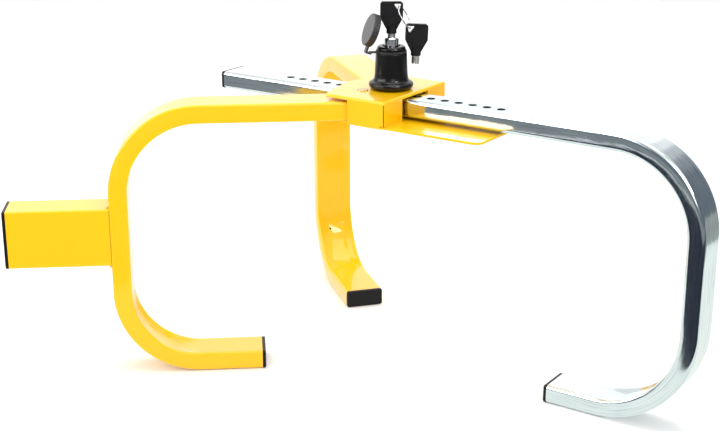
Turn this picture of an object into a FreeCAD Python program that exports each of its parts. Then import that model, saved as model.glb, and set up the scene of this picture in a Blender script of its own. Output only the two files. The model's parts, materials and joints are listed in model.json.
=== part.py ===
import FreeCAD, Part
import math
import os

from FreeCAD import Rotation, Vector

os.makedirs("parts", exist_ok=True)

# Three-arm wheel clamp, millimetres.  Design frame: lock axis at X=0 Y=0, feet on Z=0,
# +X along the sliding arm.  Everything is shifted at the end so that the origin is the
# bottom centre of the whole clamp.

# Fixed arms: rectangular tube bent to a C, wide side across the bending plane
TUBE_W = 42.0
TUBE_H = 19.0
TUBE_WALL = 2.0
TUBE_CORNER = 2.6
TUBE_TOP = 281.5
ARM_ANGLE = 39.5
ARM_CROSS_X = 18.0
ARM_REACH = 299.0
ARM_TOP_R = 92.0
ARM_FOOT_R = 88.0
ARM_TOE = 149.5

# Sliding arm: a slightly smaller tube with the row of lock holes
BAR_W = 38.0
BAR_H = 18.0
BAR_TOP = 283.0
BAR_REACH = 345.0
BAR_TOP_R = 93.0
BAR_FOOT_R = 102.0
BAR_TOE = 196.5
BAR_TAIL = -202.5
HOLE_PITCH = 15.8
HOLE_D = 8.6
HOLES_EACH_SIDE = 8
BAR_SIDE_GAP = 2.0

# Extension tube on the front arm
EXT_W = 40.0
EXT_TALL = 60.0
EXT_Z0 = 117.0
EXT_END = 400.5

# Housing sheet metal
SHEET = 3.0
COVER_TOP = 287.5
COVER_HALF_Y = 57.5
COVER_X1 = 29.0
WALL_X0 = -14.0
PLATE_TIP_X = -54.0
PLATE_SIDE_X = -40.0
TAB_INNER_Y = 24.0
BEND_R = 2.5
SEAM = 0.9
RELIEF_R = 1.3
RELIEF_FROM_CORNER = 3.2
BASE_T = 2.5
BASE_HALF_Y = 55.0
BASE_X1 = 134.0
BASE_CORNER = 9.0
WELD_LEG = 3.0
WELD_START = 1.0
WELD_STOP = 5.0
EDGE_WELD_FILL = 0.78
PLUG_WELD_R = 5.5
PLUG_WELD_X = -18.0
PLUG_WELD_Y = 24.0

# End caps
CAP_T = 3.5
CAP_PLUG = 12.0
CAP_GAP = 0.3
CAP_EDGE = 1.2

# Push lock on the lock axis
SOCKET_R = 12.0
SOCKET_BORE_R = 7.5
SOCKET_TOP = 328.5
SOCKET_STEP_Z = 291.0
PIN_R = 4.0
PIN_HOLE_R = 4.4
PIN_BOTTOM = 283.6
PIN_CHAMFER = 1.0
CORE_R = 7.42
CORE_Z0 = 307.0
CORE_Z1 = 339.3
PLUNGER_TRAVEL = 6.0
KEYWAY_R = 4.0
KEYWAY_Z = 334.8
RUN_GAP = 0.08
PLUG_Z0 = 318.3
POST_R = 2.6
STOP_PIN_R = 1.5
STOP_PIN_Z = 312.0
JACKET_TOP = 331.0
GROOVE_Z0 = 324.3
GROOVE_Z1 = 326.9
GROOVE_R = 14.3
SPRING_R = 5.6
SPRING_WIRE = 0.9
SPRING_TURNS = 4
SPRING_END_GAP = 0.2

# Keys: a moulded head on a short tubular barrel
KEY_TURN = 35.2
KEY_R = 4.0
KEY_BORE_R = 2.9
KEY_TIP_Z = 335.3
NOTCH_COUNT = 7
NOTCH_W = 1.0
NOTCH_IN_R = 2.0
NOTCH_DEPTH = 1.2
NOTCH_DEPTH_STEP = 0.35
NOTCH_FIRST = 25.0
NOTCH_SPACING = 47.0
HEAD_Z0 = 343.6
HEAD_T = 4.6
BARREL_IN_HEAD = 6.0
HEAD_OUTLINE = [(-4.9, 0.0), (-4.9, 3.5), (-11.3, 15.5), (-11.3, 29.5), (-9.3, 31.5),
                (9.3, 31.5), (11.3, 29.5), (11.3, 15.5), (4.9, 3.5), (4.9, 0.0)]
HEAD_HOLE = [(1.8, 29.3), (9.6, 29.3), (7.4, 21.8)]
BOSS_R = 3.4
BOSS_T = 6.4
BOSS_TALL = 13.0

# Key ring and spare key, positions in the key plane (sideways, up)
RING_TOP = (6.8, 369.9)
RING_LOW = (19.1, 348.9)
RING_WIRE = 0.6
RING_TWIST = 12.0
SPARE_TILT = 2.0
SPARE_HOLE = (-6.2, 27.4)

# Rubber dust cap, swung open on its tether
CAP_SIDE = 229.1
CAP_HINGE_S = 22.4
CAP_HINGE_Z = 324.2
CAP_OPEN = 70.0
COVER_CAP_R = 16.5
COVER_CAP_BORE = 14.9
COVER_CAP_Z0 = 327.4
COVER_CAP_Z1 = 334.1
COVER_CAP_ROOF = 2.4
RIB_COUNT = 36
RIB_GROOVE_R = 0.45
RIB_STOP = 1.8
KNUCKLE_R = 0.9
TETHER_R = 15.5
STRAP_W = 7.0
STRAP_T = 1.8
HINGE_GAP = 1.3

UP = Vector(0, 0, 1)


def box(x0, x1, y0, y1, z0, z1):
    """Box between the given corner coordinates."""
    return Part.makeBox(x1 - x0, y1 - y0, z1 - z0, Vector(x0, y0, z0))


def cylinder(radius, z0, z1, x=0.0, y=0.0):
    """Upright cylinder."""
    return Part.makeCylinder(radius, z1 - z0, Vector(x, y, z0))


def tube(outer, inner, z0, z1):
    """Upright tube on the lock axis."""
    return cylinder(outer, z0, z1).cut(cylinder(inner, z0 - 1.0, z1 + 1.0))


def prism(points, z0, z1):
    """Upright prism over a closed list of (x, y) points."""
    wire = Part.makePolygon([Vector(x, y, z0) for x, y in points + points[:1]])
    return Part.Face(wire).extrude(Vector(0, 0, z1 - z0))


def revolved(profile):
    """Solid turned about the lock axis from a closed list of (radius, z) points."""
    wire = Part.makePolygon([Vector(r, 0, z) for r, z in profile + profile[:1]])
    return Part.Face(wire).revolve(Vector(0, 0, 0), UP, 360)


def rounded_rect(width, height, radius):
    """Closed wire of a rounded rectangle in the YZ plane, centred on the origin."""
    wire = Part.makePolygon([Vector(0, -width / 2, -height / 2), Vector(0, width / 2, -height / 2),
                             Vector(0, width / 2, height / 2), Vector(0, -width / 2, height / 2),
                             Vector(0, -width / 2, -height / 2)])
    solid = Part.Face(wire).extrude(Vector(1, 0, 0))
    edges = [e for e in solid.Edges if abs(e.Vertexes[0].X - e.Vertexes[1].X) > 0.5]
    solid = solid.makeFillet(radius, edges)
    face = min(solid.Faces, key=lambda f: f.CenterOfMass.x)
    return face.OuterWire


def c_path(start, reach, top, height, top_r, foot_r, toe):
    """Centre line of a C arm in the XZ plane, from the inner end to the foot tip."""
    half = height / 2
    z_top = top - half
    x_out = reach - half
    rt = top_r - half
    rf = foot_r - half
    k = math.sqrt(0.5)
    a = Vector(start, 0, z_top)
    b = Vector(x_out - rt, 0, z_top)
    b_mid = Vector(x_out - rt + rt * k, 0, z_top - rt + rt * k)
    c = Vector(x_out, 0, z_top - rt)
    d = Vector(x_out, 0, half + rf)
    d_mid = Vector(x_out - rf + rf * k, 0, half + rf - rf * k)
    e = Vector(x_out - rf, 0, half)
    f = Vector(toe, 0, half)
    return Part.Wire([Part.LineSegment(a, b).toShape(), Part.Arc(b, b_mid, c).toShape(),
                      Part.LineSegment(c, d).toShape(), Part.Arc(d, d_mid, e).toShape(),
                      Part.LineSegment(e, f).toShape()])


def sweep(path, wire, start):
    """Solid swept along the path from a profile moved to the path start."""
    profile = wire.copy()
    profile.translate(start)
    return path.makePipeShell([profile], True, False)


def bent_tube(start, reach, top, width, height, top_r, foot_r, toe):
    """Hollow C arm lying in the XZ plane."""
    path = c_path(start, reach, top, height, top_r, foot_r, toe)
    origin = Vector(start, 0, top - height / 2)
    outer = sweep(path, rounded_rect(width, height, TUBE_CORNER), origin)
    inner_wire = rounded_rect(width - 2 * TUBE_WALL, height - 2 * TUBE_WALL, TUBE_CORNER - TUBE_WALL)
    return outer.cut(sweep(path, inner_wire, origin))


def end_cap(x, direction, width, height, z_mid):
    """Plastic end cap on an X-facing tube end at x; direction is the outward sign."""
    flange = Part.Face(rounded_rect(width, height, TUBE_CORNER)).extrude(Vector(direction * CAP_T, 0, 0))
    far = [e for e in flange.Edges if abs(e.BoundBox.XMin - direction * CAP_T) < 0.01
           and abs(e.BoundBox.XMax - direction * CAP_T) < 0.01]
    flange = flange.makeFillet(CAP_EDGE, far)
    shrink = 2 * (TUBE_WALL + CAP_GAP)
    plug_wire = rounded_rect(width - shrink, height - shrink, TUBE_CORNER - TUBE_WALL)
    plug = Part.Face(plug_wire).extrude(Vector(-direction * CAP_PLUG, 0, 0))
    pocket_wire = rounded_rect(width - shrink - 4.0, height - shrink - 4.0, 0.8)
    pocket = Part.Face(pocket_wire).extrude(Vector(-direction * (CAP_PLUG + 1.0), 0, 0))
    cap = flange.fuse(plug.cut(pocket)).removeSplitter()
    cap.translate(Vector(x, 0, z_mid))
    return cap


def to_arm(shape, side):
    """Move a shape built along +X from the crossing point onto a fixed arm (side -1 front, +1 rear)."""
    placed = shape.copy()
    placed.rotate(Vector(0, 0, 0), UP, 180.0 - side * ARM_ANGLE)
    placed.translate(Vector(ARM_CROSS_X, 0, 0))
    return placed


def fixed_arm(side):
    """Fixed C arm with its inner end cut parallel to the sliding bar."""
    tube_shape = bent_tube(0.0, ARM_REACH, TUBE_TOP, TUBE_W, TUBE_H, ARM_TOP_R, ARM_FOOT_R, ARM_TOE)
    arm = to_arm(tube_shape, side)
    inner_y = BAR_W / 2 + BAR_SIDE_GAP
    keep_out = box(-400, 400, -400, inner_y, 0, 400) if side > 0 else box(-400, 400, -inner_y, 400, 0, 400)
    foot_zone = box(-400, 400, -400, 400, -10, TUBE_TOP - TUBE_H - 30.0)
    keep_out = keep_out.cut(foot_zone)
    return arm.cut(keep_out)


def sliding_arm():
    """Zinc-plated sliding arm with the row of lock holes in its upper wall."""
    arm = bent_tube(BAR_TAIL, BAR_REACH, BAR_TOP, BAR_W, BAR_H, BAR_TOP_R, BAR_FOOT_R, BAR_TOE)
    for index in range(-HOLES_EACH_SIDE, HOLES_EACH_SIDE + 1):
        hole = cylinder(HOLE_D / 2, BAR_TOP - TUBE_WALL - 1.0, BAR_TOP + 1.0, index * HOLE_PITCH)
        arm = arm.cut(hole)
    return arm


def plate_outline(half_y, x1):
    """Plan outline shared by the housing sheets: a shallow point toward the fixed arms."""
    return [(PLATE_SIDE_X, -half_y), (x1, -half_y), (x1, half_y), (PLATE_SIDE_X, half_y), (PLATE_TIP_X, 0.0)]


def vertical_edges(shape, x, y_abs):
    """Vertical edges of a shape standing at the given x and |y|."""
    found = []
    for edge in shape.Edges:
        first, last = edge.Vertexes[0].Point, edge.Vertexes[-1].Point
        upright = abs(first.x - last.x) < 0.01 and abs(first.y - last.y) < 0.01
        if upright and abs(first.x - x) < 0.01 and abs(abs(first.y) - y_abs) < 0.01:
            found.append(edge)
    return found


def base_plate():
    """Long lower plate under the bar, rounded at the outer corners."""
    top = TUBE_TOP - TUBE_H
    plate = prism(plate_outline(BASE_HALF_Y, BASE_X1), top - BASE_T, top)
    return plate.makeFillet(BASE_CORNER, vertical_edges(plate, BASE_X1, BASE_HALF_Y))


def housing_cover():
    """Folded cover: top sheet, two side walls and two end tabs beside the bar opening."""
    base_top = TUBE_TOP - TUBE_H
    body = prism(plate_outline(COVER_HALF_Y, COVER_X1), base_top, COVER_TOP)
    folds = []
    for edge in body.Edges:
        bounds = edge.BoundBox
        at_top = bounds.ZMin > COVER_TOP - 0.1
        side_fold = bounds.YLength < 0.1 and abs(abs(bounds.YMin) - COVER_HALF_Y) < 0.1
        end_fold = bounds.XLength < 0.1 and abs(bounds.XMin - COVER_X1) < 0.1
        if at_top and (side_fold or end_fold):
            folds.append(edge)
    body = body.makeFillet(BEND_R, folds)
    inner_top = COVER_TOP - SHEET
    inner_y = COVER_HALF_Y - SHEET
    inner_x = COVER_X1 - SHEET
    body = body.cut(box(PLATE_TIP_X - 1, inner_x, -inner_y, inner_y, base_top - 1, inner_top))
    body = body.cut(box(PLATE_TIP_X - 1, WALL_X0, -100, 100, base_top - 1, inner_top))
    body = body.cut(box(inner_x - 1, COVER_X1 + 1, -TAB_INNER_Y, TAB_INNER_Y, base_top - 1, inner_top))
    for side in (-1, 1):
        seam = box(-8, 8, -SEAM / 2, SEAM / 2, base_top - 1, inner_top)
        seam.rotate(Vector(0, 0, 0), UP, side * 45.0)
        seam.translate(Vector(COVER_X1, side * COVER_HALF_Y, 0))
        body = body.cut(seam)
        wall_start = Vector(COVER_X1 - RELIEF_FROM_CORNER, side * COVER_HALF_Y - 5, base_top)
        tab_start = Vector(COVER_X1 - 5, side * (COVER_HALF_Y - RELIEF_FROM_CORNER), base_top)
        wall_relief = Part.makeCylinder(RELIEF_R, 10, wall_start, Vector(0, 1, 0))
        tab_relief = Part.makeCylinder(RELIEF_R, 10, tab_start, Vector(1, 0, 0))
        body = body.cut(wall_relief).cut(tab_relief)
    return body.cut(cylinder(PIN_HOLE_R, COVER_TOP - SHEET - 1, COVER_TOP + 1))


def wall_weld(side):
    """Edge weld in the corner under a side wall, along the rim of the base plate."""
    z = TUBE_TOP - TUBE_H
    y = side * BASE_HALF_Y
    toe = side * COVER_HALF_Y
    leg = COVER_HALF_Y - BASE_HALF_Y
    bulge = y + side * leg * EDGE_WELD_FILL
    wire = Part.Wire([Part.LineSegment(Vector(0, y, z), Vector(0, toe, z)).toShape(),
                      Part.Arc(Vector(0, toe, z), Vector(0, bulge, z - leg * EDGE_WELD_FILL),
                               Vector(0, y, z - leg)).toShape(),
                      Part.LineSegment(Vector(0, y, z - leg), Vector(0, y, z)).toShape()])
    bead = Part.Face(wire).extrude(Vector(COVER_X1 - WALL_X0 - WELD_START - WELD_STOP, 0, 0))
    bead.translate(Vector(WALL_X0 + WELD_START, 0, 0))
    return bead


def plug_weld(side):
    """Low button of a plug weld joining the cover to a fixed arm."""
    button = cylinder(PLUG_WELD_R, COVER_TOP, COVER_TOP + 1.0, PLUG_WELD_X, side * PLUG_WELD_Y)
    rim = [e for e in button.Edges if e.BoundBox.ZMin > COVER_TOP + 0.9]
    return button.makeFillet(0.8, rim)


def extension_tube():
    """Rectangular tube standing out from the front arm's upright."""
    length = EXT_END - ARM_REACH
    outer = Part.Face(rounded_rect(EXT_W, EXT_TALL, TUBE_CORNER)).extrude(Vector(length, 0, 0))
    bore_wire = rounded_rect(EXT_W - 2 * TUBE_WALL, EXT_TALL - 2 * TUBE_WALL, TUBE_CORNER - TUBE_WALL)
    bore = Part.Face(bore_wire).extrude(Vector(length, 0, 0))
    shape = outer.cut(bore)
    shape.translate(Vector(ARM_REACH, 0, EXT_Z0 + EXT_TALL / 2))
    return to_arm(shape, -1)


def extension_weld():
    """Weld beads above and below the extension tube where it meets the arm."""
    beads = []
    for edge_z, sign in ((EXT_Z0, -1), (EXT_Z0 + EXT_TALL, 1)):
        corner = Vector(ARM_REACH, 0, edge_z)
        along = Vector(ARM_REACH + WELD_LEG, 0, edge_z)
        up = Vector(ARM_REACH, 0, edge_z + sign * WELD_LEG)
        middle = Vector(ARM_REACH + WELD_LEG * 0.62, 0, edge_z + sign * WELD_LEG * 0.62)
        wire = Part.Wire([Part.LineSegment(corner, along).toShape(), Part.Arc(along, middle, up).toShape(),
                          Part.LineSegment(up, corner).toShape()])
        bead = Part.Face(wire).extrude(Vector(0, EXT_W - 8.0, 0))
        bead.translate(Vector(0, -(EXT_W - 8.0) / 2, 0))
        beads.append(to_arm(bead, -1))
    return beads


def lock_socket():
    """Steel socket welded to the cover; guides the lock plunger."""
    profile = [(PIN_HOLE_R, COVER_TOP), (SOCKET_R, COVER_TOP), (SOCKET_R, SOCKET_TOP),
               (SOCKET_BORE_R, SOCKET_TOP), (SOCKET_BORE_R, SOCKET_STEP_Z), (PIN_HOLE_R, SOCKET_STEP_Z)]
    body = revolved(profile)
    hole = Part.makeCylinder(STOP_PIN_R, 12, Vector(0, 4, STOP_PIN_Z), Vector(0, 1, 0))
    return body.cut(hole)


def lock_jacket():
    """Moulded black jacket with a flared foot and a tether groove."""
    inner = SOCKET_R + CAP_GAP
    points = [(inner, COVER_TOP), (19.6, COVER_TOP), (21.8, 289.4), (22.7, 291.6), (22.7, 293.0),
              (21.9, 294.6), (20.2, 295.5), (18.7, 296.4), (17.6, 297.8), (17.0, 299.8), (16.7, 302.5),
              (15.7, GROOVE_Z0), (GROOVE_R, GROOVE_Z0), (GROOVE_R, GROOVE_Z1), (14.6, GROOVE_Z1),
              (14.4, JACKET_TOP - 1.7), (12.9, JACKET_TOP), (8.8, JACKET_TOP), (8.8, SOCKET_TOP), (inner, SOCKET_TOP)]
    body = revolved(points)
    hole = Part.makeCylinder(STOP_PIN_R + 0.3, 8, Vector(0, SOCKET_R - 1, STOP_PIN_Z), Vector(0, 1, 0))
    return body.cut(hole)


def lock_core():
    """Chrome plunger body with the round keyway and the travel slot."""
    profile = [(0, CORE_Z0), (CORE_R - 0.8, CORE_Z0), (CORE_R, CORE_Z0 + 0.8), (CORE_R, CORE_Z1 - 0.9),
               (CORE_R - 0.9, CORE_Z1), (KEYWAY_R + RUN_GAP, CORE_Z1), (KEYWAY_R + RUN_GAP, PLUG_Z0), (0, PLUG_Z0)]
    body = revolved(profile)
    low = STOP_PIN_Z - STOP_PIN_R - 0.4
    high = STOP_PIN_Z + PLUNGER_TRAVEL + STOP_PIN_R + 0.4
    slot = box(-STOP_PIN_R - 0.3, STOP_PIN_R + 0.3, CORE_R - 2.4, CORE_R + 2, low, high)
    index_notch = box(-1.0, 1.0, KEYWAY_R - 0.5, KEYWAY_R + 1.6, CORE_Z1 - 2.5, CORE_Z1 + 1)
    index_notch.rotate(Vector(0, 0, 0), UP, KEY_TURN)
    return body.cut(slot).cut(index_notch)


def lock_pin():
    """Hardened bolt under the plunger; drops into a bar hole."""
    profile = [(0, PIN_BOTTOM), (PIN_R - PIN_CHAMFER, PIN_BOTTOM), (PIN_R, PIN_BOTTOM + PIN_CHAMFER),
               (PIN_R, CORE_Z0), (0, CORE_Z0)]
    return revolved(profile)


def stop_pin():
    """Cross pin that limits the plunger travel."""
    length = SOCKET_R - CORE_R + 1.6
    return Part.makeCylinder(STOP_PIN_R, length, Vector(0, CORE_R - 1.6, STOP_PIN_Z), Vector(0, 1, 0))


def tumbler_plug():
    """Turning plug at the bottom of the keyway, with the centre post."""
    profile = [(0, PLUG_Z0), (KEYWAY_R, PLUG_Z0), (KEYWAY_R, KEYWAY_Z), (POST_R, KEYWAY_Z),
               (POST_R, CORE_Z1 - 1.0), (POST_R - 0.6, CORE_Z1 - 0.4), (0, CORE_Z1 - 0.4)]
    return revolved(profile)


def lock_spring():
    """Open coil under the plunger, made of half rings that climb half a pitch each."""
    height = CORE_Z0 - SOCKET_STEP_Z
    climb = (height - SPRING_WIRE - 2 * SPRING_END_GAP) / (2 * SPRING_TURNS)
    bottom = SOCKET_STEP_Z + SPRING_WIRE / 2 + SPRING_END_GAP
    radius = math.hypot(SPRING_R, climb / 2)
    coil = None
    for index in range(2 * SPRING_TURNS):
        lean = 1 if index % 2 == 0 else -1
        centre = Vector(0, 0, bottom + climb * (index + 0.5))
        ring = Part.makeTorus(radius, SPRING_WIRE / 2, centre, Vector(lean * climb, 0, 2 * SPRING_R))
        other_half = box(-20, 20, -20, 0, 0, 400) if lean > 0 else box(-20, 20, 0, 20, 0, 400)
        half = ring.cut(other_half)
        coil = half if coil is None else coil.fuse(half)
    return coil.removeSplitter()


def key_head():
    """Moulded key head in the XZ plane, bottom edge on z=0, with its oval boss."""
    wire = Part.makePolygon([Vector(x, -HEAD_T / 2, z) for x, z in HEAD_OUTLINE + HEAD_OUTLINE[:1]])
    head = Part.Face(wire).extrude(Vector(0, HEAD_T, 0))
    corners = [e for e in head.Edges if e.BoundBox.YLength > HEAD_T - 0.1 and e.BoundBox.ZMin > 10]
    head = head.makeFillet(1.2, corners)
    boss = box(-BOSS_R, BOSS_R, -BOSS_T / 2, BOSS_T / 2, 0, BOSS_TALL)
    round_top = Part.makeCylinder(BOSS_R, BOSS_T, Vector(0, -BOSS_T / 2, BOSS_TALL), Vector(0, 1, 0))
    neck = cylinder(KEY_R + 1.1, 0, BARREL_IN_HEAD + 1.5)
    hole_wire = Part.makePolygon([Vector(x, -HEAD_T, z) for x, z in HEAD_HOLE + HEAD_HOLE[:1]])
    ring_hole = Part.Face(hole_wire).extrude(Vector(0, 2 * HEAD_T, 0))
    ring_hole = ring_hole.makeFillet(0.9, [e for e in ring_hole.Edges if e.BoundBox.YLength > HEAD_T])
    head = head.fuse(boss).fuse(round_top).fuse(neck).removeSplitter()
    return head.cut(ring_hole).cut(cylinder(KEY_R, -1, BARREL_IN_HEAD))


def key_barrel():
    """Tubular key barrel below z=0, running up into the head."""
    bottom = KEY_TIP_Z - HEAD_Z0
    body = tube(KEY_R, KEY_BORE_R, bottom, BARREL_IN_HEAD)
    for index in range(NOTCH_COUNT):
        depth = NOTCH_DEPTH + NOTCH_DEPTH_STEP * (index % 3)
        notch = box(NOTCH_IN_R, KEY_R + 1, -NOTCH_W / 2, NOTCH_W / 2, bottom - 1, bottom + depth)
        notch.rotate(Vector(0, 0, 0), UP, NOTCH_FIRST + index * NOTCH_SPACING)
        body = body.cut(notch)
    return body


def in_key_plane(shape, side=0.0, height=0.0, tilt=0.0):
    """Place a key shape in the turned key plane at (sideways, up)."""
    placed = shape.copy()
    placed.rotate(Vector(0, 0, 0), Vector(0, 1, 0), tilt)
    placed.translate(Vector(side, 0, height))
    placed.rotate(Vector(0, 0, 0), UP, KEY_TURN)
    return placed


def spare_offset():
    """Where the spare key's own origin goes so that its ring hole sits on the ring."""
    angle = math.radians(SPARE_TILT)
    hole_x = SPARE_HOLE[0] * math.cos(angle) + SPARE_HOLE[1] * math.sin(angle)
    hole_z = -SPARE_HOLE[0] * math.sin(angle) + SPARE_HOLE[1] * math.cos(angle)
    return RING_LOW[0] - hole_x, RING_LOW[1] - hole_z


def mirrored(shape):
    """Turn a key about its own barrel by half a turn."""
    placed = shape.copy()
    placed.rotate(Vector(0, 0, 0), UP, 180)
    return placed


def key_ring():
    """Wire ring through both key heads."""
    dx = RING_LOW[0] - RING_TOP[0]
    dz = RING_LOW[1] - RING_TOP[1]
    radius = math.hypot(dx, dz) / 2
    chord = Vector(dx, 0, dz).normalize()
    normal = Rotation(chord, 90.0 + RING_TWIST).multVec(Vector(0, 1, 0))
    ring = Part.makeTorus(radius, RING_WIRE, Vector(0, 0, 0), normal)
    return in_key_plane(ring, (RING_LOW[0] + RING_TOP[0]) / 2, (RING_LOW[1] + RING_TOP[1]) / 2)


def to_cap_side(shape, angle):
    """Open a shape drawn with the hinge on its +X side, then turn it to the hinge side."""
    placed = shape.copy()
    placed.rotate(Vector(CAP_HINGE_S, 0, CAP_HINGE_Z), Vector(0, 1, 0), angle)
    placed.rotate(Vector(0, 0, 0), UP, CAP_SIDE)
    return placed


def dust_cap():
    """Rubber cap with ribbed rim and its strap, opened about the strap hinge."""
    body = cylinder(COVER_CAP_R, COVER_CAP_Z0, COVER_CAP_Z1)
    edge = [e for e in body.Edges if e.BoundBox.ZMin > COVER_CAP_Z1 - 0.1]
    body = body.makeFillet(1.2, edge)
    body = body.cut(cylinder(COVER_CAP_BORE, COVER_CAP_Z0 - 1, COVER_CAP_Z1 - COVER_CAP_ROOF))
    for index in range(RIB_COUNT):
        groove = cylinder(RIB_GROOVE_R, COVER_CAP_Z0 - 1, COVER_CAP_Z1 - RIB_STOP, COVER_CAP_R)
        groove.rotate(Vector(0, 0, 0), UP, (index + 0.5) * 360.0 / RIB_COUNT)
        body = body.cut(groove)
    strap_z0 = COVER_CAP_Z0 + 0.4
    strap_x0 = COVER_CAP_R - 1.0
    strap = box(strap_x0, CAP_HINGE_S + KNUCKLE_R, -STRAP_W / 2, STRAP_W / 2, strap_z0, strap_z0 + STRAP_T)
    leg = box(CAP_HINGE_S - KNUCKLE_R, CAP_HINGE_S + KNUCKLE_R, -STRAP_W / 2, STRAP_W / 2,
              CAP_HINGE_Z + HINGE_GAP, strap_z0 + STRAP_T)
    return to_cap_side(body.fuse(strap).fuse(leg).removeSplitter(), CAP_OPEN)


def cap_seal():
    """Thin sealing disc inside the dust cap."""
    roof = COVER_CAP_Z1 - COVER_CAP_ROOF
    return to_cap_side(cylinder(COVER_CAP_BORE - CAP_GAP, roof - 1.0, roof), CAP_OPEN)


def tether_ring():
    """Loop in the jacket groove with the tab that carries the cap hinge."""
    z0 = GROOVE_Z0 + 0.3
    z1 = GROOVE_Z1 - 0.3
    loop = tube(TETHER_R, GROOVE_R + 0.3, z0, z1)
    tab = box(TETHER_R - 0.5, CAP_HINGE_S, -STRAP_W / 2, STRAP_W / 2, z0, z1 - 0.7)
    knuckle_end = Vector(CAP_HINGE_S, -STRAP_W / 2, CAP_HINGE_Z)
    knuckle = Part.makeCylinder(KNUCKLE_R, STRAP_W, knuckle_end, Vector(0, 1, 0))
    return to_cap_side(loop.fuse(tab).fuse(knuckle), 0.0)


def arm_cap(side):
    """Foot cap of a fixed arm."""
    return to_arm(end_cap(ARM_TOE, -1, TUBE_W, TUBE_H, TUBE_H / 2), side)


spare_x, spare_z = spare_offset()
weld_low, weld_high = extension_weld()
ext_cap = to_arm(end_cap(EXT_END, 1, EXT_W, EXT_TALL, EXT_Z0 + EXT_TALL / 2), -1)

nodes = {
    "arm_front": fixed_arm(-1),
    "arm_rear": fixed_arm(1),
    "extension_tube": extension_tube(),
    "base_plate": base_plate(),
    "housing_cover": housing_cover(),
    "weld_wall_front": wall_weld(-1),
    "weld_wall_rear": wall_weld(1),
    "weld_extension_low": weld_low,
    "weld_extension_high": weld_high,
    "plug_weld_front": plug_weld(-1),
    "plug_weld_rear": plug_weld(1),
    "foot_cap_front": arm_cap(-1),
    "foot_cap_rear": arm_cap(1),
    "extension_cap": ext_cap,
    "sliding_arm": sliding_arm(),
    "foot_cap_sliding": end_cap(BAR_TOE, -1, BAR_W, BAR_H, BAR_H / 2),
    "tail_cap": end_cap(BAR_TAIL, -1, BAR_W, BAR_H, BAR_TOP - BAR_H / 2),
    "lock_socket": lock_socket(),
    "lock_jacket": lock_jacket(),
    "lock_core": lock_core(),
    "lock_pin": lock_pin(),
    "lock_spring": lock_spring(),
    "travel_stop_pin": stop_pin(),
    "tumbler_plug": tumbler_plug(),
    "key_head": in_key_plane(key_head(), 0.0, HEAD_Z0),
    "key_barrel": in_key_plane(key_barrel(), 0.0, HEAD_Z0),
    "key_ring": key_ring(),
    "spare_key_head": in_key_plane(mirrored(key_head()), spare_x, spare_z, SPARE_TILT),
    "spare_key_barrel": in_key_plane(mirrored(key_barrel()), spare_x, spare_z, SPARE_TILT),
    "dust_cap": dust_cap(),
    "cap_seal": cap_seal(),
    "tether_ring": tether_ring(),
}

bounds = Part.makeCompound(list(nodes.values())).optimalBoundingBox(False, False)
shift = Vector(-bounds.Center.x, -bounds.Center.y, -bounds.ZMin)
for name, shape in nodes.items():
    shape.translate(shift)
    shape.exportStep("parts/%s.step" % name)
print("size", round(bounds.XLength, 2), round(bounds.YLength, 2), round(bounds.ZLength, 2))
print("shift", round(shift.x, 3), round(shift.y, 3), round(shift.z, 3))
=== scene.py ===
import json
import math

import bmesh
import bpy
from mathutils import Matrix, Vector


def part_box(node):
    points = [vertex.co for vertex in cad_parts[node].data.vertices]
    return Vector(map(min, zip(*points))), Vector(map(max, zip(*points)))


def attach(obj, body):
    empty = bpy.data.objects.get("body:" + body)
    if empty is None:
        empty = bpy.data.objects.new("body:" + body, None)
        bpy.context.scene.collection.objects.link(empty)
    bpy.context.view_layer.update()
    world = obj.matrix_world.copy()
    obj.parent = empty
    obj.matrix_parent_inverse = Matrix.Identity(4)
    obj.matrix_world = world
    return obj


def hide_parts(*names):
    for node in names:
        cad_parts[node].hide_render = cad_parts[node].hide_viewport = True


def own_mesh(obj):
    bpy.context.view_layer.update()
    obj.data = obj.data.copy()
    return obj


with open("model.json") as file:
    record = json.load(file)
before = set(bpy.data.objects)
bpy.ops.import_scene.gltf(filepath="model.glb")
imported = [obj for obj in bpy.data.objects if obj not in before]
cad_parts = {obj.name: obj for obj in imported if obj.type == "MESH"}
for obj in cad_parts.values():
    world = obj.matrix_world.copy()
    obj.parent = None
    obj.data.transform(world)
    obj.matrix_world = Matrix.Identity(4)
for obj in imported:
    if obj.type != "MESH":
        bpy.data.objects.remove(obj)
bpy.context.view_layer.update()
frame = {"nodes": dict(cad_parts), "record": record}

NODE = frame["nodes"]


# ---------------------------------------------------------------- materials
def new_material(name):
    """Empty node material with a Principled shader; returns material, nodes, links, shader."""
    mat = bpy.data.materials.new(name)
    mat.use_nodes = True
    tree = mat.node_tree
    tree.nodes.clear()
    out = tree.nodes.new("ShaderNodeOutputMaterial")
    shader = tree.nodes.new("ShaderNodeBsdfPrincipled")
    tree.links.new(shader.outputs["BSDF"], out.inputs["Surface"])
    return mat, tree.nodes, tree.links, shader


def coords(nodes, links, scale=(1.0, 1.0, 1.0)):
    """Object coordinates, stretched."""
    tex = nodes.new("ShaderNodeTexCoord")
    mapping = nodes.new("ShaderNodeMapping")
    mapping.inputs["Scale"].default_value = scale
    links.new(tex.outputs["Object"], mapping.inputs["Vector"])
    return mapping.outputs["Vector"]


def noise(nodes, links, vector, scale, detail=4.0, rough=0.5):
    """Noise texture factor."""
    node = nodes.new("ShaderNodeTexNoise")
    node.inputs["Scale"].default_value = scale
    node.inputs["Detail"].default_value = detail
    node.inputs["Roughness"].default_value = rough
    links.new(vector, node.inputs["Vector"])
    return node.outputs["Fac"]


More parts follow.
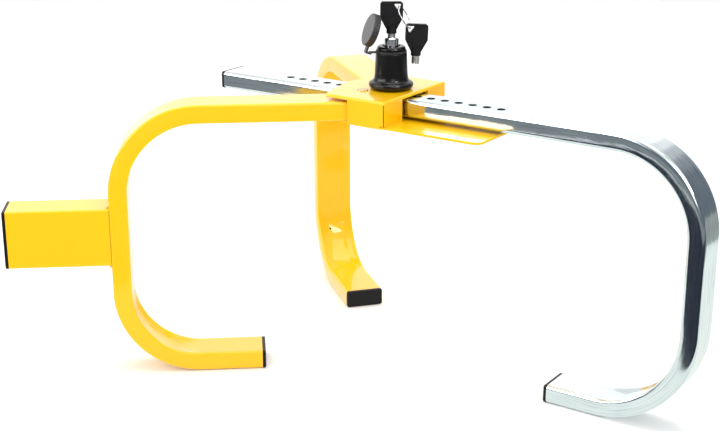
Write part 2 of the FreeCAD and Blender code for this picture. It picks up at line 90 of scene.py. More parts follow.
def ramp(nodes, links, fac, stops):
    """Colour ramp over (position, rgb) stops."""
    node = nodes.new("ShaderNodeValToRGB")
    elements = node.color_ramp.elements
    while len(elements) < len(stops):
        elements.new(0.5)
    for element, (pos, col) in zip(elements, stops):
        element.position = pos
        element.color = (*col, 1.0)
    links.new(fac, node.inputs["Fac"])
    return node.outputs["Color"]


def multiply(nodes, links, first, second):
    """Product of two colours."""
    node = nodes.new("ShaderNodeMix")
    node.data_type = "RGBA"
    node.blend_type = "MULTIPLY"
    node.inputs["Factor"].default_value = 1.0
    links.new(first, node.inputs["A"])
    links.new(second, node.inputs["B"])
    return node.outputs["Result"]


def spread(nodes, links, fac, low, high, to_low, to_high):
    """Map a factor range onto another range."""
    node = nodes.new("ShaderNodeMapRange")
    node.inputs["From Min"].default_value = low
    node.inputs["From Max"].default_value = high
    node.inputs["To Min"].default_value = to_low
    node.inputs["To Max"].default_value = to_high
    links.new(fac, node.inputs["Value"])
    return node.outputs["Result"]


def bump(nodes, links, height, strength, distance, under=None):
    """Bump node, optionally stacked on another."""
    node = nodes.new("ShaderNodeBump")
    node.inputs["Strength"].default_value = strength
    node.inputs["Distance"].default_value = distance
    links.new(height, node.inputs["Height"])
    if under is not None:
        links.new(under, node.inputs["Normal"])
    return node.outputs["Normal"]


YELLOW_TONE = (0.915, 0.506, 0.0022)


def powder_coat():
    """Gloss yellow powder coat with faint orange peel and slight colour drift."""
    mat, nodes, links, shader = new_material("yellow_powder_coat")
    v = coords(nodes, links)
    drift = noise(nodes, links, v, 9.0, 4.0, 0.5)
    colour = ramp(nodes, links, drift, [(0.30, (0.900, 0.494, 0.0018)), (0.52, YELLOW_TONE),
                                        (0.74, (0.930, 0.520, 0.0030))])
    links.new(colour, shader.inputs["Base Color"])
    gloss = noise(nodes, links, v, 60.0, 3.0, 0.5)
    links.new(spread(nodes, links, gloss, 0.3, 0.7, 0.30, 0.38), shader.inputs["Roughness"])
    peel = noise(nodes, links, v, 900.0, 2.0, 0.5)
    wave = noise(nodes, links, v, 70.0, 2.0, 0.4)
    low = bump(nodes, links, wave, 0.06, 0.0005)
    links.new(bump(nodes, links, peel, 0.08, 0.00010, low), shader.inputs["Normal"])
    shader.inputs["Coat Weight"].default_value = 1.0
    shader.inputs["Coat Roughness"].default_value = 0.06
    shader.inputs["Coat IOR"].default_value = 1.38
    shader.inputs["Specular IOR Level"].default_value = 0.12
    return mat


def tube_coords(nodes, links, scale=(1.0, 1.0, 1.0)):
    """Coordinates that follow a bent tube: metres along it and metres around it."""
    tex = nodes.new("ShaderNodeUVMap")
    tex.uv_map = "tube"
    mapping = nodes.new("ShaderNodeMapping")
    mapping.inputs["Scale"].default_value = scale
    links.new(tex.outputs["UV"], mapping.inputs["Vector"])
    return mapping.outputs["Vector"]


def zinc():
    """Bright zinc plate: drawn streaks along the tube, faint blue and straw tints, small scuffs."""
    mat, nodes, links, shader = new_material("bright_zinc")
    v = coords(nodes, links)
    cloud = noise(nodes, links, v, 16.0, 5.0, 0.6)
    tint = ramp(nodes, links, cloud, [(0.26, (0.66, 0.74, 0.76)), (0.48, (0.73, 0.80, 0.81)),
                                      (0.66, (0.77, 0.82, 0.81)), (0.80, (0.80, 0.78, 0.70))])
    streaks = noise(nodes, links, tube_coords(nodes, links, (5.0, 260.0, 1.0)), 4.0, 5.0, 0.65)
    lines = ramp(nodes, links, streaks, [(0.34, (0.72, 0.73, 0.75)), (0.50, (0.97, 0.97, 0.97)),
                                         (0.68, (1.0, 1.0, 1.0))])
    links.new(multiply(nodes, links, tint, lines), shader.inputs["Base Color"])
    links.new(spread(nodes, links, streaks, 0.35, 0.72, 0.07, 0.19), shader.inputs["Roughness"])
    waves = noise(nodes, links, tube_coords(nodes, links, (15.0, 42.0, 1.0)), 3.0, 2.0, 0.4)
    swell = bump(nodes, links, waves, 0.15, 0.0012)
    scores = noise(nodes, links, tube_coords(nodes, links, (14.0, 900.0, 1.0)), 3.0, 3.0, 0.6)
    fine = bump(nodes, links, scores, 0.10, 0.00012, swell)
    grain = noise(nodes, links, v, 1500.0, 2.0, 0.5)
    links.new(bump(nodes, links, grain, 0.04, 0.00005, fine), shader.inputs["Normal"])
    shader.inputs["Metallic"].default_value = 1.0
    return mat


def plastic(name, dark, light, rough_low, rough_high, grain, shine):
    """Moulded black plastic with a fine grain and slight tone variation."""
    mat, nodes, links, shader = new_material(name)
    v = coords(nodes, links)
    tone = noise(nodes, links, v, 45.0, 4.0, 0.6)
    links.new(ramp(nodes, links, tone, [(0.30, dark), (0.70, light)]), shader.inputs["Base Color"])
    rough = noise(nodes, links, v, 150.0, 3.0, 0.5)
    links.new(spread(nodes, links, rough, 0.3, 0.7, rough_low, rough_high), shader.inputs["Roughness"])
    fine = noise(nodes, links, v, grain, 2.0, 0.5)
    links.new(bump(nodes, links, fine, 0.12, 0.00012), shader.inputs["Normal"])
    shader.inputs["Specular IOR Level"].default_value = shine
    return mat


def metal(name, low_col, high_col, rough_low, rough_high, stretch):
    """Turned or drawn steel with directional scratches."""
    mat, nodes, links, shader = new_material(name)
    v = coords(nodes, links)
    tone = noise(nodes, links, v, 90.0, 4.0, 0.6)
    links.new(ramp(nodes, links, tone, [(0.3, low_col), (0.7, high_col)]), shader.inputs["Base Color"])
    lines = noise(nodes, links, coords(nodes, links, stretch), 30.0, 4.0, 0.6)
    links.new(spread(nodes, links, lines, 0.3, 0.7, rough_low, rough_high), shader.inputs["Roughness"])
    links.new(bump(nodes, links, lines, 0.15, 0.0001), shader.inputs["Normal"])
    shader.inputs["Metallic"].default_value = 1.0
    return mat


CAP_FACE = (-0.615, -0.710, 0.342)  # outward direction of the open dust cap's outer face


def cap_rubber():
    """Matt dark rubber with random dust spots; the flat outer face is painted lighter grey as a painted sheen
    while the rim stays dark.
    """
    mat, nodes, links, shader = new_material("cap_rubber")
    sheen_facing = nodes.new("ShaderNodeVectorMath")
    sheen_facing.operation = "DOT_PRODUCT"
    tex = nodes.new("ShaderNodeTexCoord")
    links.new(tex.outputs["Normal"], sheen_facing.inputs[0])
    sheen_facing.inputs[1].default_value = CAP_FACE
    # Painted sheen: faces turned toward the cap's outer-face direction are painted lighter grey, the rim
    # stays dark.
    tone = ramp(nodes, links, sheen_facing.outputs["Value"],
                [(0.86, (0.020, 0.020, 0.021)), (0.97, (0.115, 0.118, 0.117))])
    dust = noise(nodes, links, coords(nodes, links), 260.0, 4.0, 0.6)
    wear = ramp(nodes, links, dust, [(0.35, (0.80, 0.80, 0.80)), (0.65, (1.0, 1.0, 1.0))])
    links.new(multiply(nodes, links, tone, wear), shader.inputs["Base Color"])
    links.new(spread(nodes, links, dust, 0.3, 0.7, 0.42, 0.58), shader.inputs["Roughness"])
    fine = noise(nodes, links, coords(nodes, links), 900.0, 2.0, 0.5)
    links.new(bump(nodes, links, fine, 0.12, 0.0001), shader.inputs["Normal"])
    return mat


def weld_scar():
    """Painted plug weld with bare metal showing where the paint is knocked off."""
    mat, nodes, links, shader = new_material("weld_scar")
    v = coords(nodes, links)
    chips = noise(nodes, links, v, 330.0, 3.0, 0.55)
    colour = ramp(nodes, links, chips, [(0.47, YELLOW_TONE), (0.52, (0.16, 0.13, 0.10)),
                                        (0.60, (0.62, 0.62, 0.60))])
    links.new(colour, shader.inputs["Base Color"])
    links.new(spread(nodes, links, chips, 0.48, 0.54, 0.0, 1.0), shader.inputs["Metallic"])
    patches = noise(nodes, links, v, 90.0)
    links.new(spread(nodes, links, patches, 0.3, 0.7, 0.22, 0.38), shader.inputs["Roughness"])
    links.new(bump(nodes, links, chips, 0.6, 0.0008), shader.inputs["Normal"])
    return mat


YELLOW = powder_coat()
SCAR = weld_scar()
KEY_STEEL = metal("key_steel", (0.58, 0.56, 0.52), (0.84, 0.82, 0.78), 0.22, 0.40, (1.0, 1.0, 14.0))
ZINC = zinc()
CAP_BLACK = plastic("cap_black", (0.0042, 0.0036, 0.0036), (0.0075, 0.0066, 0.0066), 0.30, 0.42, 700.0, 0.22)
JACKET = plastic("jacket_black", (0.0042, 0.0038, 0.0037), (0.0060, 0.0056, 0.0055), 0.19, 0.22, 900.0, 0.36)
KEY_BLACK = plastic("key_black", (0.005, 0.005, 0.006), (0.010, 0.010, 0.011), 0.30, 0.42, 900.0, 0.30)
RUBBER = cap_rubber()
CHROME = metal("lock_chrome", (0.62, 0.62, 0.63), (0.78, 0.78, 0.79), 0.07, 0.14, (1.0, 1.0, 14.0))
STEEL = metal("lock_steel", (0.42, 0.42, 0.43), (0.58, 0.58, 0.59), 0.22, 0.36, (1.0, 1.0, 14.0))

SLOT_MATERIAL = {
    "yellow_paint": YELLOW,
    "zinc_plate": ZINC,
    "black_plastic": CAP_BLACK,
    "jacket_plastic": JACKET,
    "lock_chrome": CHROME,
    "lock_steel": STEEL,
    "key_plastic": KEY_BLACK,
    "cap_rubber": RUBBER,
}


def mesh_object(name, verts, faces, closed=True):
    """Link a new mesh object; a closed one is turned right side out."""
    mesh = bpy.data.meshes.new(name)
    mesh.from_pydata(verts, [], faces)
    mesh.update()
    if closed:
        outward(mesh)
    obj = bpy.data.objects.new(name, mesh)
    bpy.context.scene.collection.objects.link(obj)
    return obj


def outward(mesh):
    """Turn a closed mesh right side out."""
    work = bmesh.new()
    work.from_mesh(mesh)
    inside_out = work.calc_volume(signed=True) < 0
    work.free()
    if inside_out:
        mesh.flip_normals()


def paint(obj, mat):
    """Give one object one material."""
    obj.data.materials.clear()
    obj.data.materials.append(mat)


for entry in frame["record"]["subparts"]:
    paint(NODE[entry["node"]], SLOT_MATERIAL[entry["material_slot"]])
for name in ("plug_weld_front", "plug_weld_rear"):
    paint(NODE[name], SCAR)
for name in ("key_barrel", "spare_key_barrel"):
    paint(NODE[name], KEY_STEEL)


# ---------------------------------------------------------------- bent tubes
# Lengths below are millimetres: s is the distance from the lock axis along an arm, z the height.
MM = 0.001
LOCK_LO, LOCK_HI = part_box("lock_core")
LOCK_XY = Vector(((LOCK_LO.x + LOCK_HI.x) / 2, (LOCK_LO.y + LOCK_HI.y) / 2, 0.0))

ARM = {"start": 62.0, "reach": 299.0, "top": 281.5, "height": 19.0,
       "top_r": 92.0, "foot_r": 88.0, "toe": 149.5}
BAR = {"start": -202.5, "reach": 345.0, "top": 283.0, "height": 18.0,
       "top_r": 93.0, "foot_r": 102.0, "toe": 196.5}
ARM_WIDTH, ARM_CORNER, ARM_DENT = 42.0, 2.6, 5.0
BAR_WIDTH, BAR_CORNER, BAR_DENT = 38.0, 3.8, 6.5
ARM_ANGLE = 39.5
ARM_CROSS = (18.0, 0.0)
INNER_CUT = 21.0
WALL = 2.0
CROWN = 0.16

STRAIGHT_STEP = 12
BEND_STEPS, UPRIGHT_STEPS, TOE_STEPS = 40, 10, 6
CORNER_STEPS, WIDE_STEPS, NARROW_STEPS = 5, 18, 8

DENT_RISE = 0.28
DENT_RIPPLE = 0.08
SIDE_BULGE = 0.5


def bend(centre_s, centre_z, radius, heading):
    """Stations round a 90 degree bend that starts in the given direction."""
    stations = []
    for i in range(BEND_STEPS + 1):
        share = i / BEND_STEPS
        turn = heading - math.radians(90 * share)
        stations.append((centre_s - radius * math.sin(turn), centre_z + radius * math.cos(turn), turn, share))
    return stations


def centre_line(arm):
    """Stations along a C arm: (s, z, direction angle, bend share or None)."""
    start, reach, top, toe = arm["start"], arm["reach"], arm["top"], arm["toe"]
    top_r, foot_r, half = arm["top_r"], arm["foot_r"], arm["height"] / 2
    bend_s, foot_s = reach - top_r, reach - foot_r
    count = int((bend_s - start) / STRAIGHT_STEP)
    stations = [(start + (bend_s - start) * i / count, top - half, 0.0, None) for i in range(count)]
    stations += bend(bend_s, top - top_r, top_r - half, 0.0)
    z_from, z_to = top - top_r, foot_r
    for i in range(1, UPRIGHT_STEPS):
        stations.append((reach - half, z_from + (z_to - z_from) * i / UPRIGHT_STEPS, -math.pi / 2, None))
    stations += bend(foot_s, foot_r, foot_r - half, -math.pi / 2)
    for i in range(1, TOE_STEPS + 1):
        stations.append((foot_s + (toe - foot_s) * i / TOE_STEPS, half, -math.pi, None))
    return stations


def ring_profile(width, height, corner, inset):
    """Closed rounded-rectangle profile (u across, v outward) with many points on the wide sides.

    The two narrow sides are slightly crowned."""
    w, h = width / 2 - inset, height / 2 - inset
    r = max(corner - inset, 0.5)
    points = []
    corners = [(w - r, h - r, 0), (-(w - r), h - r, 90), (-(w - r), -(h - r), 180), (w - r, -(h - r), 270)]
    for index, (cu, cv, first) in enumerate(corners):
        for k in range(CORNER_STEPS + 1):
            turn = math.radians(first + 90 * k / CORNER_STEPS)
            points.append((cu + r * math.cos(turn), cv + r * math.sin(turn)))
        nu, nv, _ = corners[(index + 1) % 4]
        end = (nu + r * math.cos(math.radians(first + 90)), nv + r * math.sin(math.radians(first + 90)))
        here = points[-1]
        steps = WIDE_STEPS if index in (0, 2) else NARROW_STEPS
        crown = 0.0 if index in (0, 2) else CROWN
        for k in range(1, steps):
            f = k / steps
            out = crown * math.sin(math.pi * f) * (1 if here[0] > 0 else -1)
            points.append((here[0] + (end[0] - here[0]) * f + out, here[1] + (end[1] - here[1]) * f))
    return points


def dent_amount(share):
    """How far the bend has pressed the inner wall in, 0 to 1, along a 90 degree bend."""
    if share is None:
        return 0.0
    rise = min(1.0, share / DENT_RISE, (1.0 - share) / DENT_RISE)
    rise = rise * rise * (3 - 2 * rise)
    return rise * (1 - DENT_RIPPLE + DENT_RIPPLE * math.cos(share * math.pi * 6))


def pressed(u, v, width, height, share, depth):
    """Profile point after cold bending: inner wall dented, side walls slightly bulged near it."""
    amount = dent_amount(share)
    if amount == 0.0:
        return u, v
    across = min(1.0, abs(u) / (width / 2 - 1.0))
    inner = max(0.0, -v / (height / 2))
    sink = depth * amount * (1 - across ** 2.6) * inner ** 3
    bulge = 0.0
    if abs(u) > width / 2 - 3:
        bulge = SIDE_BULGE * amount * math.sin(math.pi * min(1.0, max(0.0, 0.5 - v / height)))
    return u + math.copysign(bulge, u), v + sink


def tube_mesh(name, stations, width, height, corner, depth, cut_y=None, angle=0.0, origin=(0.0, 0.0)):
    """Hollow bent tube as one closed mesh, placed in the row frame."""
    verts, faces = [], []
    ca, sa = math.cos(angle), math.sin(angle)
    rings = []
    for inset in (0.0, WALL):
        profile = ring_profile(width, height, corner, inset)
        shell = []
        for index, (s, z, heading, share) in enumerate(stations):
            tx, tz = math.cos(heading), math.sin(heading)
            nx, nz = -tz, tx
            row = []
            for u, v in profile:
                pu, pv = pressed(u, v, width, height, share, depth)
                ps, pz = s + nx * pv, z + nz * pv
                if index == 0 and cut_y is not None:
                    ps = (cut_y - ca * pu) / sa
                px = origin[0] + ca * ps - sa * pu
                py = origin[1] + sa * ps + ca * pu
                row.append(len(verts))
                verts.append(((px * MM) + LOCK_XY.x, (py * MM) + LOCK_XY.y, pz * MM))
            shell.append(row)
        rings.append(shell)
    outer, inner = rings
    n = len(outer[0])
    for shell, flip in ((outer, False), (inner, True)):
        for a, b in zip(shell, shell[1:]):
            for k in range(n):
                quad = (a[k], a[(k + 1) % n], b[(k + 1) % n], b[k])
                faces.append(quad[::-1] if flip else quad)
    for row, end in ((0, True), (-1, False)):
        for k in range(n):
            quad = (outer[row][k], outer[row][(k + 1) % n], inner[row][(k + 1) % n], inner[row][k])
            faces.append(quad[::-1] if end else quad)
    obj = mesh_object(name, verts, faces)
    tube_uv(obj.data, stations, ring_profile(width, height, corner, 0.0))
    return obj


def tube_uv(mesh, stations, profile):
    """UV map in metres: distance along the tube, distance around the profile."""
    along = [0.0]
    for a, b in zip(stations, stations[1:]):
        along.append(along[-1] + math.hypot(b[0] - a[0], b[1] - a[1]))
    around = [0.0]
    for a, b in zip(profile, profile[1:]):
        around.append(around[-1] + math.hypot(b[0] - a[0], b[1] - a[1]))
    n = len(profile)
    closing = around[-1] + math.hypot(profile[0][0] - profile[-1][0], profile[0][1] - profile[-1][1])
    layer = mesh.uv_layers.new(name="tube")
    for poly in mesh.polygons:
        columns = [mesh.loops[li].vertex_index % n for li in poly.loop_indices]
        wraps = max(columns) - min(columns) > n // 2
        for li, column in zip(poly.loop_indices, columns):
            row = (mesh.loops[li].vertex_index // n) % len(stations)
            distance = closing if wraps and column == 0 else around[column]
            layer.data[li].uv = (along[row] * MM, distance * MM)


def smooth(obj, degrees=38.0):
    """Smooth shading with sharp edges above an angle."""
    for poly in obj.data.polygons:
        poly.use_smooth = True
    obj.data.set_sharp_from_angle(angle=math.radians(degrees))


def fixed_arm(name, side):
    """Painted arm; side is -1 for the front one and +1 for the rear one."""
    obj = tube_mesh(name + "_skin", centre_line(ARM), ARM_WIDTH, ARM["height"], ARM_CORNER, ARM_DENT,
                    side * INNER_CUT, math.radians(180.0 - side * ARM_ANGLE), ARM_CROSS)
    paint(obj, YELLOW)
    smooth(obj)
    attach(obj, "clamp")
    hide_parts(name)


HOLE_PITCH, HOLE_R, HOLES_EACH_SIDE = 15.8, 4.3, 8
HOLE_SIDES = 40
HOLE_DEPTH, HOLE_CLEAR = 5.0, 2.0


def drill(obj, name, places, radius, z0, z1):
    """Cut upright round holes through a mesh with one hidden cutter."""
    verts, faces = [], []
    count = HOLE_SIDES
    for x, y in places:
        base = len(verts)
        for z in (z0, z1):
            for k in range(count):
                turn = 2 * math.pi * k / count
                verts.append((x + radius * math.cos(turn), y + radius * math.sin(turn), z))
        faces.append(tuple(base + k for k in reversed(range(count))))
        faces.append(tuple(base + count + k for k in range(count)))
        for k in range(count):
            nxt = (k + 1) % count
            faces.append((base + k, base + nxt, base + count + nxt, base + count + k))
    cutter = mesh_object(name, verts, faces)
    modifier = obj.modifiers.new("holes", "BOOLEAN")
    modifier.operation = "DIFFERENCE"
    modifier.solver = "EXACT"
    modifier.object = cutter
    bpy.context.view_layer.update()
    graph = bpy.context.evaluated_depsgraph_get()
    cut_mesh = bpy.data.meshes.new_from_object(obj.evaluated_get(graph))
    obj.modifiers.clear()
    obj.data = cut_mesh
    bpy.data.objects.remove(cutter)


def sliding_arm():
    """Plated arm with its row of holes."""
    obj = tube_mesh("sliding_arm_skin", centre_line(BAR), BAR_WIDTH, BAR["height"], BAR_CORNER, BAR_DENT)
    indexes = range(-HOLES_EACH_SIDE, HOLES_EACH_SIDE + 1)
    places = [(LOCK_XY.x + i * HOLE_PITCH * MM, LOCK_XY.y) for i in indexes]
    cut_low, cut_high = BAR["top"] - HOLE_DEPTH, BAR["top"] + HOLE_CLEAR
    drill(obj, "hole_cutter", places, HOLE_R * MM, cut_low * MM, cut_high * MM)
    paint(obj, ZINC)
    smooth(obj, 30.0)
    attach(obj, "slider")
    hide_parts("sliding_arm")


fixed_arm("arm_front", -1)
fixed_arm("arm_rear", 1)
sliding_arm()


def lathe(name, profile, segments, centre):
    """Smooth turned shape from (radius, z) millimetres about a vertical axis."""
    verts, faces = [], []
    for r, z in profile:
        for k in range(segments):
            turn = 2 * math.pi * k / segments
            verts.append((centre.x + r * MM * math.cos(turn), centre.y + r * MM * math.sin(turn), z * MM))
    rows = len(profile)
    for i in range(rows):
        a, b = i * segments, ((i + 1) % rows) * segments
        for k in range(segments):
            nxt = (k + 1) % segments
            faces.append((a + k, b + k, b + nxt, a + nxt))
    return mesh_object(name, verts, faces)


def rounded_path(points, steps=5):
    """Round the corners of a closed (r, z, radius) polyline with short arcs."""
    out = []
    count = len(points)
    for i, (r, z, radius) in enumerate(points):
        if radius == 0:
            out.append((r, z))
            continue
        here = Vector((r, z))
        before = Vector(points[i - 1][:2]) - here
        after = Vector(points[(i + 1) % count][:2]) - here
        reach = min(radius, before.length * 0.45, after.length * 0.45)
        a = here + before.normalized() * reach
        b = here + after.normalized() * reach
        for k in range(steps + 1):
            t = k / steps
            p = a * (1 - t) ** 2 + here * 2 * t * (1 - t) + b * t ** 2
            out.append((p.x, p.y))
    return out


JACKET_Z0, JACKET_TOP, JACKET_ROOF = 287.5, 331.0, 2.5
GROOVE_Z0, GROOVE_Z1, GROOVE_R = 324.3, 326.9, 14.3
JACKET_BORE, CORE_HOLE_R = 12.3, 8.8
TURNED_SIDES = 96


def jacket():
    """Moulded jacket: waisted body, rolled foot, tether groove, softened top edge."""
    foot = [(JACKET_BORE, JACKET_Z0, 0), (19.4, JACKET_Z0, 0.5), (21.3, 288.9, 1.2), (22.7, 291.6, 1.5),
            (22.4, 294.0, 1.3), (20.6, 295.3, 1.0), (18.9, 295.9, 1.2), (17.6, 297.6, 1.4),
            (17.0, 300.2, 1.5), (16.6, 304.0, 2.0)]
    groove = [(15.7, GROOVE_Z0, 0.5), (GROOVE_R, GROOVE_Z0, 0.2), (GROOVE_R, GROOVE_Z1, 0.2),
              (14.6, GROOVE_Z1, 0.3)]
    top = [(14.5, JACKET_TOP - 1.9, 1.3), (13.0, JACKET_TOP, 1.0), (CORE_HOLE_R, JACKET_TOP, 0.5),
           (CORE_HOLE_R, JACKET_TOP - JACKET_ROOF, 0), (JACKET_BORE, JACKET_TOP - JACKET_ROOF, 0)]
    obj = lathe("lock_jacket_skin", rounded_path(foot + groove + top), TURNED_SIDES, LOCK_XY)
    paint(obj, JACKET)
    smooth(obj, 50.0)
    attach(obj, "clamp")
    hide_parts("lock_jacket")


jacket()


# Weld beads, in metres.
BEAD_LEG, BEAD_STEP, BEAD_RIPPLE, BEAD_TAPER = 0.0027, 0.0007, 0.0026, 0.002
BEAD_PAST_END = 0.004
BEAD_ARC = 9


def weld_bead(name, start, end, side_a, side_b):
    """Rippled fillet weld from start to end; side_a and side_b point along the two legs."""
    along = end - start
    length = along.length
    along.normalize()
    steps = max(24, int(length / BEAD_STEP))
    verts, faces = [], []
    for i in range(steps + 1):
        t = i / steps
        wave = (t * length / BEAD_RIPPLE) % 1.0
        swell = 1.0 + 0.16 * math.sqrt(max(0.0, 1 - (2 * wave - 1) ** 2)) + 0.05 * math.sin(i * 1.7)
        taper = min(1.0, math.sqrt(t * length / BEAD_TAPER), math.sqrt((1 - t) * length / BEAD_TAPER))
        size = BEAD_LEG * swell * max(0.08, taper)
        base = start + along * (t * length)
        verts.append(tuple(base))
        for k in range(BEAD_ARC + 1):
            turn = math.pi / 2 * k / BEAD_ARC
            radius = size * (0.92 + 0.115 * math.sin(2 * turn))
            leg_a, leg_b = radius * math.cos(turn), radius * math.sin(turn)
            verts.append(tuple(base + side_a * leg_a + side_b * leg_b))
    row = BEAD_ARC + 2
    for i in range(steps):
        a, b = i * row, (i + 1) * row
        for k in range(row):
            nxt = (k + 1) % row
            faces.append((a + k, a + nxt, b + nxt, b + k))
    faces.append(tuple(range(row)))
    faces.append(tuple(reversed(range(steps * row, (steps + 1) * row))))
    obj = mesh_object(name, verts, faces)
    paint(obj, YELLOW)
    smooth(obj, 60.0)
    return obj


def wall_welds():
    """Beads where the cover walls stand on the base plate."""
    for side, word in ((-1, "front"), (1, "rear")):
        node = "weld_wall_" + word
        lo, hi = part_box(node)
        y = hi.y if side < 0 else lo.y
        obj = weld_bead(node + "_bead", Vector((lo.x, y, hi.z)), Vector((hi.x + BEAD_PAST_END, y, hi.z)),
                        Vector((0, side, 0)), Vector((0, 0, -1)))
        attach(obj, "clamp")
        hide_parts(node)


wall_welds()


VENT_FROM_LOCK = Vector((-195.4, 165.6, 55.0))
VENT_R = 1.2


def vent_hole_shade():
    """Small drain hole in the dent of the rear arm's lower bend, drawn as a dark ball sunk in the wall:
    painted shade standing in for the dark inside of the hole.
    """
    spot = VENT_FROM_LOCK * MM + LOCK_XY
    bpy.ops.mesh.primitive_uv_sphere_add(segments=16, ring_count=8, radius=VENT_R * MM, location=spot)
    hole = bpy.context.object
    hole.name = "vent_hole_shade"
    # painted shade: a black ball in place of the shaded inside of the drain hole
    paint(hole, CAP_BLACK)
    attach(hole, "clamp")


vent_hole_shade()


SPRING_WIRE, SPRING_TURNS, SPRING_PRESS = 0.9, 4, 6.0
COIL_STEPS, COIL_SIDES = 32, 8


def lock_spring():
    """Coil spring round the bolt, coiled to fill the spring's box; the real spring gets shorter as the
    plunger goes down, which is not drawn here.
    """
    lo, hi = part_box("lock_spring")
    wire = SPRING_WIRE / 2 * MM
    radius = (hi.x - lo.x) / 2 - wire
    height = hi.z - lo.z
    steps, sides = COIL_STEPS * SPRING_TURNS, COIL_SIDES
    pitch = (height - 2 * wire) / SPRING_TURNS
    verts, faces = [], []
    for i in range(steps + 1):
        turn = 2 * math.pi * SPRING_TURNS * i / steps
        out = Vector((math.cos(turn), math.sin(turn), 0.0))
        along = Vector((-math.sin(turn), math.cos(turn), pitch / (2 * math.pi * radius))).normalized()
        up = out.cross(along)
        centre = LOCK_XY + out * radius + Vector((0, 0, lo.z + wire + (height - 2 * wire) * i / steps))
        for k in range(sides):
            around = 2 * math.pi * k / sides
            verts.append(tuple(centre + out * (wire * math.cos(around)) + up * (wire * math.sin(around))))
    for i in range(steps):
        a, b = i * sides, (i + 1) * sides
        for k in range(sides):
            nxt = (k + 1) % sides
            faces.append((a + k, a + nxt, b + nxt, b + k))
    faces.append(tuple(reversed(range(sides))))
    faces.append(tuple(range(steps * sides, (steps + 1) * sides)))
    obj = mesh_object("lock_spring_coil", verts, faces)
    paint(obj, STEEL)
    smooth(obj, 60.0)
    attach(obj, "clamp")
    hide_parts("lock_spring")
    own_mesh(obj)


lock_spring()


# ---------------------------------------------------------------- stage, light, camera
def stage():
    """Plain white floor and white surround; the soft studio lights are added after it."""
    bpy.ops.mesh.primitive_plane_add(size=14.0, location=(0, 0, -0.0004))
    floor = bpy.context.object
    floor.name = "floor"
    mat, nodes, links, shader = new_material("floor_white")
    tone = noise(nodes, links, coords(nodes, links), 2.0, 2.0, 0.5)
    links.new(ramp(nodes, links, tone, [(0.3, (0.90, 0.90, 0.90)), (0.7, (0.92, 0.92, 0.92))]),
              shader.inputs["Base Color"])
    shader.inputs["Roughness"].default_value = 0.7
    shader.inputs["Specular IOR Level"].default_value = 0.1
    floor.data.materials.append(mat)
    world = bpy.data.worlds.new("studio")
    world.use_nodes = True
    world.node_tree.nodes["Background"].inputs["Color"].default_value = (1.0, 1.0, 1.0, 1.0)
    world.node_tree.nodes["Background"].inputs["Strength"].default_value = 1.0
    bpy.context.scene.world = world


def area_light(name, size_x, size_y, power, location, target):
    """Rectangular soft light aimed at a point."""
    data = bpy.data.lights.new(name, "AREA")
    data.shape = "RECTANGLE"
    data.size = size_x
    data.size_y = size_y
    data.energy = power
    lamp = bpy.data.objects.new(name, data)
    bpy.context.scene.collection.objects.link(lamp)
    lamp.location = location
    aim = Vector(target) - Vector(location)
    lamp.rotation_euler = aim.to_track_quat("-Z", "Y").to_euler()


LIGHT_AIM = (0.0, 0.0, 0.2)

stage()
area_light("top_soft", 1.6, 1.6, 22.0, (-0.1, 0.1, 1.9), LIGHT_AIM)
area_light("left_soft", 0.9, 1.2, 7.0, (-1.5, -0.8, 0.9), LIGHT_AIM)
area_light("right_soft", 0.8, 1.2, 7.5, (1.3, -1.2, 1.1), LIGHT_AIM)

CAM_AZIMUTH = 34.41
CAM_ELEVATION = 18.10
CAM_DISTANCE = 1.4691
CAM_LENS = 69.75
AIM_FROM_LOCK = Vector((-0.0379, 0.0, 0.1456))


def card(name, corners, colour, strength):
    """Glowing card outside the picture, seen only in reflections; a dim one acts as a dark flag."""
    obj = mesh_object(name, corners, [tuple(range(len(corners)))], closed=False)
    mat, nodes, links, shader = new_material(name)
    cloud = noise(nodes, links, coords(nodes, links), 1.5, 2.0, 0.5)
    softer = tuple(0.85 * c for c in colour)
    tint = ramp(nodes, links, cloud, [(0.3, softer), (0.7, colour)])
    shader.inputs["Base Color"].default_value = (0.0, 0.0, 0.0, 1.0)
    shader.inputs["Specular IOR Level"].default_value = 0.0
    links.new(tint, shader.inputs["Emission Color"])
    shader.inputs["Emission Strength"].default_value = strength
    obj.data.materials.append(mat)
    obj.visible_camera = False
    obj.visible_diffuse = False
    obj.visible_transmission = False
    obj.visible_volume_scatter = False
    obj.visible_shadow = False


def camera_axes():
    """Horizontal right and toward-camera directions of the reference view."""
    a = math.radians(CAM_AZIMUTH)
    return Vector((math.cos(a), math.sin(a), 0)), Vector((math.sin(a), -math.cos(a), 0))


DARK = (0.035, 0.043, 0.062)
SLATE = (0.17, 0.20, 0.24)
GREY = (0.40, 0.44, 0.43)
PALE = (0.30, 0.325, 0.34)
HOT = (1.0, 1.0, 1.0)
BRIGHT = (1.14, 1.19, 1.15)

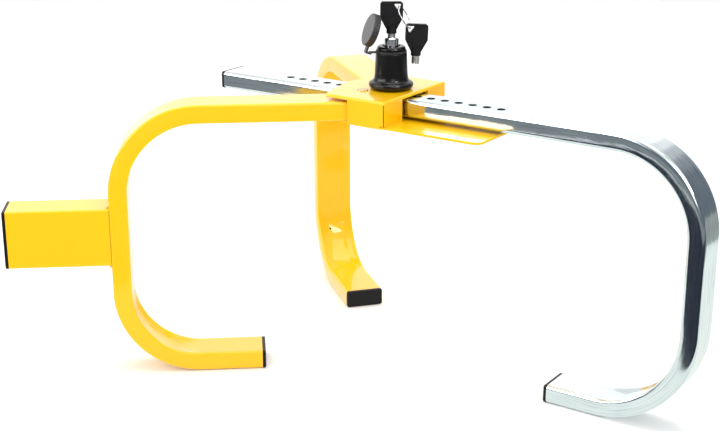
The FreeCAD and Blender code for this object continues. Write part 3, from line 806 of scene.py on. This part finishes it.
# Floor cards: name, tone, height, and corners as metres to the right and toward the camera.
FAR = 3.0
LEFT_EDGE, RIGHT_EDGE = -0.46, 0.76
DARK_FROM, DARK_TO = 0.27, 0.80
LEFT_SPLIT = (-0.55, -0.9)
FLOOR_CARDS = [
    ("card_front", DARK, 0.001,
     [(LEFT_EDGE, DARK_FROM), (FAR, DARK_FROM), (FAR, DARK_TO), (LEFT_EDGE, DARK_TO)]),
    ("card_front_far", PALE, 0.001,
     [(LEFT_EDGE, DARK_TO), (FAR, DARK_TO), (FAR, FAR), (LEFT_EDGE, FAR)]),
    ("card_left", PALE, 0.001,
     [(-FAR, LEFT_SPLIT[1]), LEFT_SPLIT, (LEFT_EDGE, FAR), (-FAR, FAR)]),
    ("card_left_far", BRIGHT, 0.001,
     [(-FAR, -FAR), (-0.62, -FAR), LEFT_SPLIT, (-FAR, LEFT_SPLIT[1])]),
    ("card_right", GREY, 0.0012,
     [(RIGHT_EDGE, -FAR), (FAR, -FAR), (FAR, DARK_FROM), (RIGHT_EDGE, DARK_FROM)]),
    ("card_near", BRIGHT, 0.001,
     [(LEFT_EDGE, -FAR), (RIGHT_EDGE, -FAR), (RIGHT_EDGE, DARK_FROM), (LEFT_EDGE, DARK_FROM)]),
]

# Upright cards: name, strength, foot centre, half width vector, bottom and top height.
UPRIGHT_CARDS = [
    ("card_soft", 18.0, Vector((1.40, -0.45, 0.0)), Vector((0.32, 0.95, 0.0)) * 0.18, 0.85, 1.90),
    ("card_window", 6.0, Vector((-0.99, -1.57, 0.0)), Vector((0.825, -0.565, 0.0)) * 0.8, 0.55, 1.45),
]

RING_CARDS, RING_R, RING_LOW, RING_HIGH = 48, 2.9, 0.01, 2.0
HOT_FROM, HOT_TO, HOT_FADE, HOT_GAIN = 92.0, 160.0, 34.0, 1.5


def hot_share(azimuth):
    """How much of the hot backdrop a wall segment shows, fading out at its two ends."""
    past_end = max(0.0, HOT_FROM - azimuth, azimuth - HOT_TO)
    return max(0.0, 1.0 - past_end / HOT_FADE) ** 2


def cards():
    """Studio seen by the metal and gloss: floor tones, two softboxes, slate walls, hot backdrop behind."""
    right, near = camera_axes()
    for name, tone, height, corners in FLOOR_CARDS:
        card(name, [tuple(right * r + near * n + Vector((0, 0, height))) for r, n in corners], tone, 1.0)
    for name, strength, foot, half, low, high in UPRIGHT_CARDS:
        corners = [(foot - half, low), (foot + half, low), (foot + half, high), (foot - half, high)]
        card(name, [tuple(place + Vector((0, 0, z))) for place, z in corners], HOT, strength)
    for index in range(RING_CARDS):
        first, last = 360.0 * index / RING_CARDS, 360.0 * (index + 1) / RING_CARDS
        a0, a1 = math.radians(first), math.radians(last)
        corners = [(RING_R * math.cos(turn), RING_R * math.sin(turn), z)
                   for turn, z in ((a0, RING_LOW), (a1, RING_LOW), (a1, RING_HIGH), (a0, RING_HIGH))]
        share = hot_share((first + last) / 2)
        colour = tuple(HOT_GAIN * h * share + c * (1 - share) for h, c in zip(HOT, SLATE))
        card("card_ring_%02d" % index, corners, colour, 1.0)


def make_camera():
    """Camera at the reference viewing angle, aimed beside the lock axis."""
    target = LOCK_XY + AIM_FROM_LOCK
    a, e = math.radians(CAM_AZIMUTH), math.radians(CAM_ELEVATION)
    back = Vector((math.sin(a) * math.cos(e), -math.cos(a) * math.cos(e), math.sin(e)))
    data = bpy.data.cameras.new("camera")
    data.sensor_width = 36.0
    data.lens = CAM_LENS
    data.clip_start = 0.05
    data.clip_end = 30.0
    cam = bpy.data.objects.new("camera", data)
    bpy.context.scene.collection.objects.link(cam)
    cam.location = target + back * CAM_DISTANCE
    cam.rotation_euler = (-back).to_track_quat("-Z", "Y").to_euler()
    bpy.context.scene.camera = cam


make_camera()
cards()
bpy.context.scene.view_settings.view_transform = "Standard"
